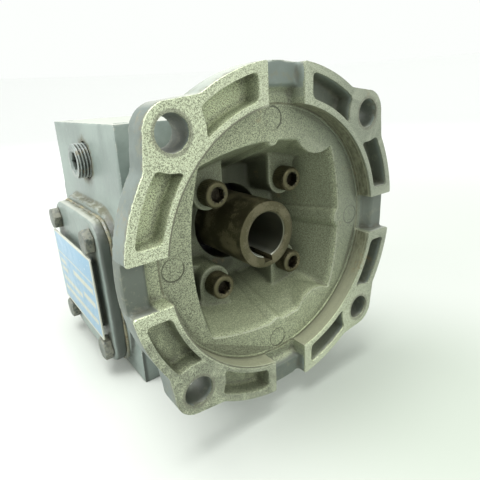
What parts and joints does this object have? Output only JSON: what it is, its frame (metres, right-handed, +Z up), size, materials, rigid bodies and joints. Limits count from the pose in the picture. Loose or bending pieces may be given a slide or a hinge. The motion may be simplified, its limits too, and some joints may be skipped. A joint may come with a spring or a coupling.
{
  "type": "worm gear reducer",
  "caption": "Right-angle worm gear reducer: a cast housing with a hollow-shaft input, an open motor mounting flange on the front and a keyed output shaft on the right side.",
  "frame": {"origin": "centre of the housing's base face, below the output axis", "axes": "+Z up, -Y out of the motor face along the input axis, +X along the output shaft"},
  "size_m": [0.1886, 0.181, 0.1665],
  "materials": {
    "painted_cast_iron": "satin grey-blue paint over cast iron",
    "raw_cast_aluminium": "as-cast, grainy, lightly soiled",
    "rusty_steel": "oiled steel with brown rust bloom",
    "ground_steel": "ground and lightly oiled",
    "bronze": "machined bronze",
    "painted_fastener": "painted over with the housing, worn at the corners",
    "black_rubber": "matte",
    "gasket_paper": "compressed fibre sheet",
    "plate_blue": "printed plate, light blue with cream bands"
  },
  "bodies": {
    "gearcase": {"drain_plug": "rusty_steel", "fill_plug": "rusty_steel", "flange_gasket": "gasket_paper", "flange_screw_1": "rusty_steel", "flange_screw_2": "rusty_steel", "flange_screw_3": "rusty_steel", "flange_screw_4": "rusty_steel", "front_bearing_outer_ring": "ground_steel", "front_retaining_ring": "rusty_steel", "housing": "painted_cast_iron", "input_oil_seal": "black_rubber", "left_bearing_outer_ring": "ground_steel", "left_cover": "painted_cast_iron", "left_cover_bolt_1": "painted_fastener", "left_cover_bolt_2": "painted_fastener", "left_cover_bolt_3": "painted_fastener", "left_cover_bolt_4": "painted_fastener", "left_cover_gasket": "gasket_paper", "level_plug": "rusty_steel", "motor_flange": "raw_cast_aluminium", "nameplate": "plate_blue", "output_oil_seal": "black_rubber", "rear_bearing_outer_ring": "ground_steel", "rear_end_cap": "painted_cast_iron", "right_bearing_outer_ring": "ground_steel", "right_cover": "painted_cast_iron", "right_cover_bolt_1": "painted_fastener", "right_cover_bolt_2": "painted_fastener", "right_cover_bolt_3": "painted_fastener", "right_cover_bolt_4": "painted_fastener", "right_cover_gasket": "gasket_paper", "vent_plug": "rusty_steel"},
    "worm": {"worm_shaft": "rusty_steel", "front_bearing_inner_ring": "ground_steel", "rear_bearing_inner_ring": "ground_steel", "worm_retaining_ring": "rusty_steel"},
    "output": {"output_shaft": "ground_steel", "worm_gear": "bronze", "gear_key": "rusty_steel", "output_key": "rusty_steel", "left_bearing_inner_ring": "ground_steel", "right_bearing_inner_ring": "ground_steel", "left_spacer": "ground_steel", "right_spacer": "ground_steel"},
    "front_cage": {"front_bearing_balls": "ground_steel"},
    "rear_cage": {"rear_bearing_balls": "ground_steel"},
    "left_cage": {"left_bearing_balls": "ground_steel"},
    "right_cage": {"right_bearing_balls": "ground_steel"}
  },
  "joints": [
    {"name": "worm_spin", "type": "hinge", "parent": "gearcase", "child": "worm", "pos_m": [0, 0, 0.0899], "axis": [0, 1, 0], "continuous": true},
    {"name": "output_spin", "type": "hinge", "parent": "gearcase", "child": "output", "pos_m": [0, 0, 0.0508], "axis": [1, 0, 0], "continuous": true},
    {"name": "front_cage_spin", "type": "hinge", "parent": "gearcase", "child": "front_cage", "pos_m": [0, 0, 0.0899], "axis": [0, 1, 0], "continuous": true},
    {"name": "rear_cage_spin", "type": "hinge", "parent": "gearcase", "child": "rear_cage", "pos_m": [0, 0, 0.0899], "axis": [0, 1, 0], "continuous": true},
    {"name": "left_cage_spin", "type": "hinge", "parent": "gearcase", "child": "left_cage", "pos_m": [0, 0, 0.0508], "axis": [1, 0, 0], "continuous": true},
    {"name": "right_cage_spin", "type": "hinge", "parent": "gearcase", "child": "right_cage", "pos_m": [0, 0, 0.0508], "axis": [1, 0, 0], "continuous": true}
  ],
  "couplings": [
    {"joint": "output_spin", "follows": "worm_spin", "ratio": 0.05},
    {"joint": "front_cage_spin", "follows": "worm_spin", "ratio": 0.4407},
    {"joint": "rear_cage_spin", "follows": "worm_spin", "ratio": 0.3914},
    {"joint": "left_cage_spin", "follows": "worm_spin", "ratio": 0.01987},
    {"joint": "right_cage_spin", "follows": "worm_spin", "ratio": 0.01987}
  ]
}
